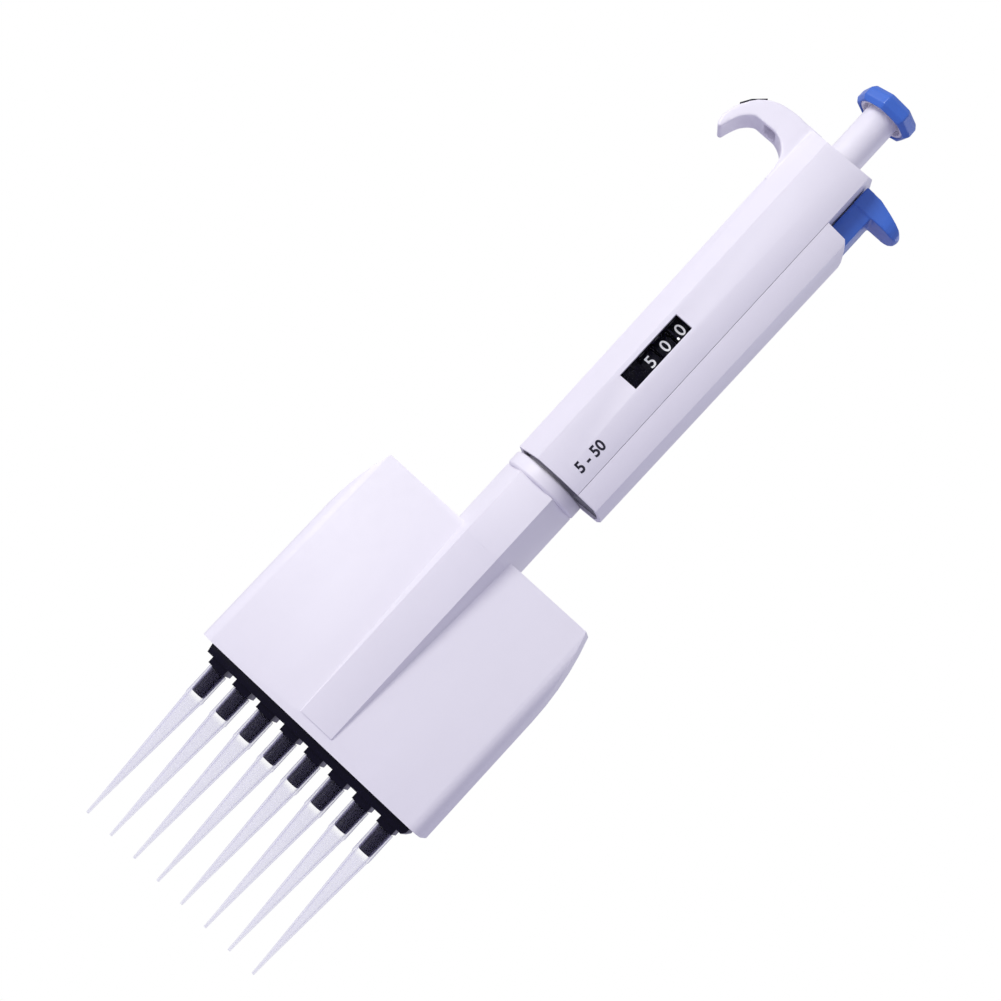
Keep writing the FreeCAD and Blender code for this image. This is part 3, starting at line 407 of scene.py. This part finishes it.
def melted(mesh, voxel, rounds):
    """The mesh rebuilt in small even faces and relaxed, so that every edge turns softly."""
    holder = bpy.data.objects.new("soft_blank", mesh)
    bpy.context.scene.collection.objects.link(holder)
    remesh = holder.modifiers.new("even", "REMESH")
    remesh.mode = "VOXEL"
    remesh.voxel_size = voxel
    relax = holder.modifiers.new("relax", "SMOOTH")
    relax.factor = 0.5
    relax.iterations = rounds
    done = evaluated_mesh(holder)
    done.shade_smooth()
    return done


def refined(node, width, trim=None):
    """The CAD node again with its sharp edges rounded over; a trim is the point and normal of a cut."""
    work = welded_copy(node)
    if trim:
        keep_side(work, *trim)
    round_edges(work, width)
    mesh = as_mesh(work, node + "_finished")
    smooth_by_angle(mesh, CRISP_DEG)
    return new_piece(node + "_finished", mesh, body_name(node), slot_of(node))


def soft_region(node, name, trims, softness):
    """A separate piece for the part of a node whose edges are all well rounded."""
    work = welded_copy(node)
    for trim in trims:
        keep_side(work, *trim)
    mesh = melted(as_mesh(work, name), *softness)
    return new_piece(name, mesh, body_name(node), slot_of(node))


def finish_in_place(node):
    """A CAD node whose shape is right gets its material only."""
    mesh = NODES[node].data
    mesh.materials.clear()
    mesh.materials.append(MATERIALS[slot_of(node)])


# ------------------------------------------------------------------ shells, hook, button and knob

def build_handle_shell():
    """Crisp moulded grip, with the finger hook as a softly rounded region growing out of it."""
    grip = refined("handle_main_shell", GRIP_ROUND, (RIGHT * GRIP_FLANK, LEFT))
    soft_region("handle_main_shell", "finger_hook",
                [(RIGHT * HOOK_ROOT, RIGHT), (UP * HOOK_FLOOR, DOWN)], HOOK_SOFTNESS)
    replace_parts(grip, "handle_main_shell")


def build_ejector_button():
    """Crisp leg under a softly rounded thumb pad."""
    leg = refined("ejector_button", LEG_ROUND, (UP * PAD_UNDER, UP))
    soft_region("ejector_button", "thumb_pad", [(UP * PAD_ROOT, DOWN)], PAD_SOFTNESS)
    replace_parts(leg, "ejector_button")


def build_knob():
    """Eight-sided push knob with soft corners."""
    knob = soft_region("knob_cap", "knob_cap_finished", [], KNOB_SOFTNESS)
    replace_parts(knob, "knob_cap")


def build_casing():
    """Everything except the tips: rounded, softened or left in its CAD shape."""
    for node, width in ROUNDED.items():
        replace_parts(refined(node, width * MM), node)
    build_handle_shell()
    build_ejector_button()
    build_knob()
    for node in NODES:
        if node not in ROUNDED and node not in SOFTENED and slot_of(node) != "clear_tip":
            finish_in_place(node)


# ------------------------------------------------------------------ tips

def tip_profile():
    """Radius, height and share of rib depth, up the outside of a tip and back down its bore."""
    seat, top, rim = TIP_SEAT, TIP_TOP, TIP_RIM
    groove = rim - RIB_DEPTH
    outside = [
        (0.45 * MM, 0.0, 0), (0.62 * MM, TIP_FINE, 0), (1.64 * MM, TIP_MIDDLE, 0),
        (2.66 * MM, TIP_SHOULDER, 0), (groove, seat - 1.6 * MM, 0), (rim, seat - 1.3 * MM, 0),
        (rim, seat - 0.7 * MM, 0), (groove, seat - 0.4 * MM, 1), (groove, top - 1.5 * MM, 1),
        (rim, top - 1.2 * MM, 0), (rim, top - 0.1 * MM, 0), (rim - 0.1 * MM, top, 0)]
    inside = [
        (2.6 * MM, top, 0), (2.48 * MM, top - 0.3 * MM, 0), (2.25 * MM, seat, 0),
        (2.2 * MM, TIP_SHOULDER, 0), (1.2 * MM, TIP_MIDDLE, 0), (0.3 * MM, TIP_FINE, 0), (0.2 * MM, 0.0, 0)]
    return outside + inside


def tip_ring(work, centre, radius, height, ribbed):
    """One level of the tip, as a ring of vertices that swells at each rib."""
    around = RIBS * RIB_STEPS
    ring = []
    for step in range(around):
        angle = math.tau * step / around
        reach = radius + RIB_DEPTH * ribbed * max(math.cos(angle * RIBS), 0.0) ** 2
        place = (centre.x + reach * math.cos(angle), centre.y + reach * math.sin(angle), height)
        ring.append(work.verts.new(place))
    return ring


def tip_mesh(centre):
    """Turned outline with fine upright ribs round the collar."""
    work = bmesh.new()
    rings = [tip_ring(work, centre, *level) for level in tip_profile()]
    for number, ring in enumerate(rings):
        following = rings[(number + 1) % len(rings)]
        for step in range(len(ring)):
            after = (step + 1) % len(ring)
            work.faces.new((ring[step], ring[after], following[after], following[step]))
    mesh = as_mesh(work, "tip")
    smooth_by_angle(mesh, TIP_CRISP_DEG)
    return mesh


def build_tips():
    """Every tip again, with its collar ribbed."""
    for node in NODES:
        if slot_of(node) == "clear_tip":
            low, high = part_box(node)
            centre = (Vector(low) + Vector(high)) / 2
            piece = new_piece(node + "_ribbed", tip_mesh(centre), body_name(node), "clear_tip")
            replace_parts(piece, node)


# ------------------------------------------------------------------ numbers

def middle_of(values):
    """Halfway between the least and the greatest."""
    values = list(values)
    return (min(values) + max(values)) / 2


def lettering(text, height, weight):
    """Flat outline of some figures, upright and centred on the origin, as tall as height."""
    curve = bpy.data.curves.new("figures", "FONT")
    curve.body = text
    curve.align_x = "CENTER"
    curve.resolution_u = 4
    curve.offset = weight
    holder = bpy.data.objects.new("figures", curve)
    bpy.context.scene.collection.objects.link(holder)
    mesh = evaluated_mesh(holder)
    bpy.data.curves.remove(curve)
    work = bmesh.new()
    work.from_mesh(mesh)
    bpy.data.meshes.remove(mesh)
    bmesh.ops.remove_doubles(work, verts=work.verts, dist=FONT_WELD)
    across = middle_of(vert.co.x for vert in work.verts)
    up = middle_of(vert.co.y for vert in work.verts)
    for vert in work.verts:
        vert.co = Vector((vert.co.x - across, vert.co.y - up, 0.0)) * height / FONT_FIGURE
    return work


def slice_upright(work, height, step):
    """Cut the outlines into narrow strips so that they can follow a curve."""
    lines = int(height / step) + 1
    for number in range(-lines, lines + 1):
        bmesh.ops.bisect_plane(work, geom=everything(work), dist=FINE_CUT, plane_co=(0, number * step, 0),
                               plane_no=(0, 1, 0))


def wrap_on_drum(work, radius, angle, height):
    """Roll upright figures on to a drum so that they read up the pipette."""
    for vert in work.verts:
        turn = angle - vert.co.y / radius
        vert.co = Vector((radius * math.cos(turn), radius * math.sin(turn), height + vert.co.x))


def add_drum_figures(node, order):
    """A ring of ten figures; the first is the one behind the window at rest."""
    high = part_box(node)[1]
    radius = high[0] + INK_LIFT
    middle = high[2] - DRUM_FACE / 2
    ring = bmesh.new()
    for place, figure in enumerate(order):
        work = lettering(str(figure), FIGURE_HEIGHT, FIGURE_WEIGHT)
        slice_upright(work, FIGURE_HEIGHT / 2, FIGURE_STRIP)
        wrap_on_drum(work, radius, -math.pi / 2 + math.tau * place / len(order), middle)
        single = as_mesh(work, "figure")
        ring.from_mesh(single)
        bpy.data.meshes.remove(single)
    mesh = as_mesh(ring, node + "_figures")
    new_piece(node + "_figures", mesh, body_name(node), "white_plastic", DIGIT_INK)


def add_decimal_point():
    """A small round dot on the bar between the last two drums."""
    work = bmesh.new()
    middle = Vector((POINT_ACROSS, BAR_FRONT - INK_LIFT, BAR_LOW + BAR_TALL / 2))
    rim = []
    for step in range(POINT_SIDES):
        turn = math.tau * step / POINT_SIDES
        reach = Vector((POINT_HALF_WIDE * math.cos(turn), 0.0, POINT_HALF_TALL * math.sin(turn)))
        rim.append(work.verts.new(middle + reach))
    work.faces.new(rim)
    mesh = as_mesh(work, "decimal_point")
    new_piece("decimal_point", mesh, "handle", "white_plastic", DIGIT_INK)


def shell_surface():
    """The main shell's faces, ready to be met by rays."""
    work = bmesh.new()
    work.from_mesh(NODES["handle_main_shell"].data)
    surface = BVHTree.FromBMesh(work)
    work.free()
    return surface


def add_range_print():
    """The volume range, printed in dark ink up the front of the handle."""
    work = lettering(RANGE_TEXT, RANGE_HEIGHT, RANGE_WEIGHT)
    slice_upright(work, RANGE_HEIGHT / 2, RANGE_STRIP)
    shell = shell_surface()
    for vert in work.verts:
        start = Vector((RANGE_X - vert.co.y, GRIP_LOW[1] - RAY_ROOM, RANGE_Z + vert.co.x))
        hit = shell.ray_cast(start, INWARD)[0]
        vert.co = hit - INWARD * INK_LIFT
    mesh = as_mesh(work, "range_print")
    new_piece("range_print", mesh, "handle", "black_plastic", PRINT_INK)


def build_figures():
    """The counter stands at 50.0: tens and units count down, and the last drum shows halves."""
    add_drum_figures("tens_drum", [(5 - step) % FIGURES for step in range(FIGURES)])
    add_drum_figures("units_drum", [-step % FIGURES for step in range(FIGURES)])
    add_drum_figures("tenths_drum", [0, 5] * (FIGURES // 2))
    add_decimal_point()
    add_range_print()


# ------------------------------------------------------------------ set, light and camera

def show_as_white(tree, lighting, seen, output):
    """The set lights the object with one shader and shows the camera a plain white one."""
    path = add_node(tree, "ShaderNodeLightPath")
    mix = add_node(tree, "ShaderNodeMixShader")
    tree.links.new(path.outputs["Is Camera Ray"], mix.inputs["Fac"])
    tree.links.new(lighting, mix.inputs[1])
    tree.links.new(seen, mix.inputs[2])
    tree.links.new(mix.outputs["Shader"], output.inputs["Surface"])


def add_floor():
    """Pale round floor just under the tip ends."""
    work = bmesh.new()
    bmesh.ops.create_circle(work, cap_ends=True, radius=FLOOR_RADIUS, segments=FLOOR_SIDES)
    mesh = as_mesh(work, "floor")
    floor = bpy.data.objects.new("floor", mesh)
    floor.location = (0.0, 0.0, CAD_LOW.z - FLOOR_GAP)
    material, tree, shader = shader_tree("pale_floor")
    shader.inputs["Base Color"].default_value = (0.6, 0.58, 0.7, 1.0)
    shader.inputs["Roughness"].default_value = 0.9
    shader.inputs["Specular IOR Level"].default_value = 0.1
    white = add_node(tree, "ShaderNodeEmission", {"Color": (1.0, 1.0, 1.0, 1.0), "Strength": 1.0})
    show_as_white(tree, shader.outputs["BSDF"], white.outputs["Emission"], tree.nodes["Material Output"])
    mesh.materials.append(material)
    bpy.context.scene.collection.objects.link(floor)
    floor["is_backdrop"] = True


def add_lamp(name, place, aim, size, power, colour):
    """A round soft light at a place, turned to the point it is aimed at."""
    data = bpy.data.lights.new(name, "AREA")
    data.shape = "DISK"
    data.size = size
    data.energy = power
    data.color = colour
    lamp = bpy.data.objects.new(name, data)
    lamp.location = place
    lamp.rotation_mode = "QUATERNION"
    lamp.rotation_quaternion = (aim - Vector(place)).to_track_quat("-Z", "Y")
    bpy.context.scene.collection.objects.link(lamp)


def add_world():
    """Soft, faintly violet light from all round, where the camera sees plain white."""
    world = bpy.data.worlds.new("studio")
    world.use_nodes = True
    tree = world.node_tree
    fill = tree.nodes["Background"]
    fill.inputs["Color"].default_value = (0.87, 0.86, 1.0, 1.0)
    fill.inputs["Strength"].default_value = 0.62
    white = add_node(tree, "ShaderNodeBackground", {"Color": (1.0, 1.0, 1.0, 1.0), "Strength": 1.0})
    show_as_white(tree, fill.outputs["Background"], white.outputs["Background"], tree.nodes["World Output"])
    bpy.context.scene.world = world


def add_studio():
    """Warm key from the front left, a weak rim light from behind on the right, and the world's fill."""
    middle = (CAD_LOW + CAD_HIGH) / 2
    add_lamp("key", (-1.0, -1.1, 0.45), middle, size=0.8, power=14.5, colour=(1.0, 0.99, 0.92))
    add_lamp("rim", (0.8, 0.7, 0.6), middle, size=0.7, power=1.5, colour=(0.93, 0.93, 1.0))
    add_world()
    view = bpy.context.scene.view_settings
    view.view_transform = "Standard"
    view.look = "None"


def add_camera():
    """In front, a little to the right and below, and rolled so that the grip leans to the right."""
    yaw, lift = math.radians(CAMERA_YAW), math.radians(CAMERA_LIFT)
    target = (CAD_LOW + CAD_HIGH) / 2 + CAMERA_AIM
    back = Vector((math.sin(yaw) * math.cos(lift), -math.cos(yaw) * math.cos(lift), math.sin(lift)))
    data = bpy.data.cameras.new("camera")
    data.sensor_width = 36.0
    data.lens = CAMERA_LENS
    data.clip_start = 0.01
    camera = bpy.data.objects.new("camera", data)
    camera.location = target + back * CAMERA_DISTANCE
    camera.rotation_mode = "QUATERNION"
    facing = (-back).to_track_quat("-Z", "Y").to_matrix()
    camera.rotation_quaternion = (facing @ Matrix.Rotation(math.radians(CAMERA_ROLL), 3, "Z")).to_quaternion()
    bpy.context.scene.collection.objects.link(camera)
    bpy.context.scene.camera = camera


build_casing()
build_tips()
build_figures()
add_floor()
add_studio()
add_camera()
